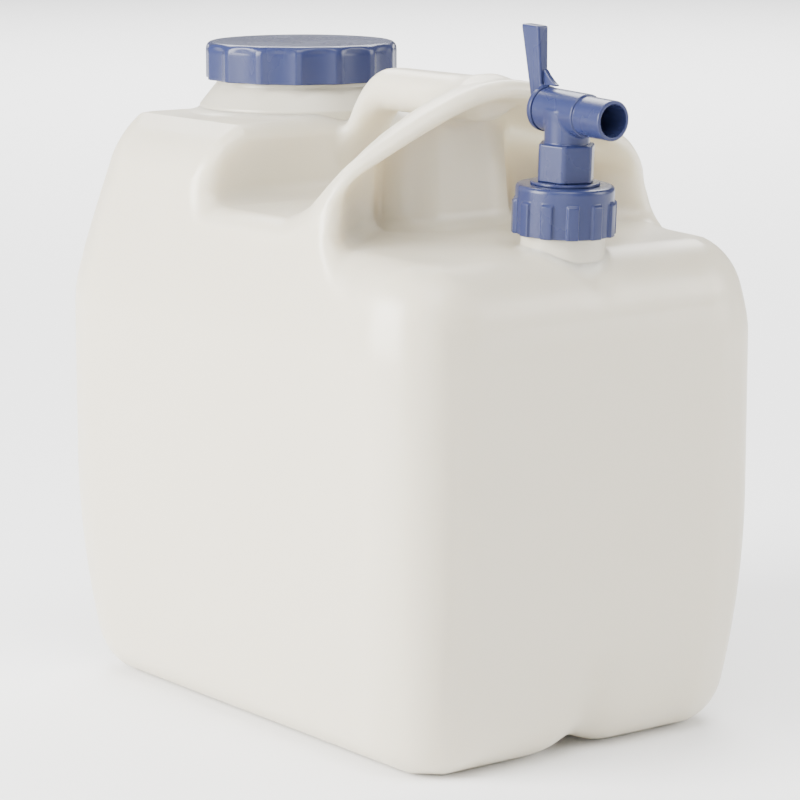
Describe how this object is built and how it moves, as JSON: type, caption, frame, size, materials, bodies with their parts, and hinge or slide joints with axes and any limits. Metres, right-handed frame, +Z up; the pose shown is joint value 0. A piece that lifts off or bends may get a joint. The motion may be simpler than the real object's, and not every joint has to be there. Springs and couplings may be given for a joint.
{
  "type": "jerrycan",
  "caption": "Portable plastic water container with a blown handle, a wide screw cap, and a lever tap on a small screw cap.",
  "frame": {"origin": "centre of the base, on the surface that it stands on", "axes": "+Z up, -Y towards the tap's end, +X to the right seen from the tap's end"},
  "size_m": [0.246, 0.35, 0.3801],
  "materials": {
    "container": "satin",
    "blue": "gloss",
    "seal": "matte",
    "ring": "matte"
  },
  "bodies": {
    "container": {"container": "container"},
    "main_seal": {"main_cap_seal": "seal"},
    "main_cap": {"main_cap": "blue"},
    "tap_seal": {"tap_cap_seal": "seal"},
    "tap": {"tap_cap": "blue", "tap_washer": "blue", "tap_body": "blue"},
    "lever": {"tap_core": "blue", "core_seal_rear": "ring", "core_seal_front": "ring"}
  },
  "joints": [
    {"name": "main_cap_lift", "type": "slide", "parent": "container", "child": "main_seal", "axis": [0, 0, 1], "range_m": [0, 0.0121]},
    {"name": "main_cap_turn", "type": "hinge", "parent": "main_seal", "child": "main_cap", "pos_m": [0, 0.094, 0.35], "axis": [0, 0, 1], "range_deg": [0, 720]},
    {"name": "tap_cap_lift", "type": "slide", "parent": "container", "child": "tap_seal", "axis": [0, -0.0471, 0.9989], "range_m": [0, 0.0121]},
    {"name": "tap_cap_turn", "type": "hinge", "parent": "tap_seal", "child": "tap", "pos_m": [0, -0.13911, 0.29597], "axis": [0, -0.0471, 0.9989], "range_deg": [0, 1080]},
    {"name": "tap_lever_turn", "type": "hinge", "parent": "tap", "child": "lever", "pos_m": [0, -0.14101, 0.33622], "axis": [0, 0.9989, 0.0471], "range_deg": [-90, 0]}
  ],
  "couplings": [
    {"joint": "main_cap_lift", "follows": "main_cap_turn", "m_per_rad": 0.00095493},
    {"joint": "tap_cap_lift", "follows": "tap_cap_turn", "m_per_rad": 0.00063662}
  ]
}
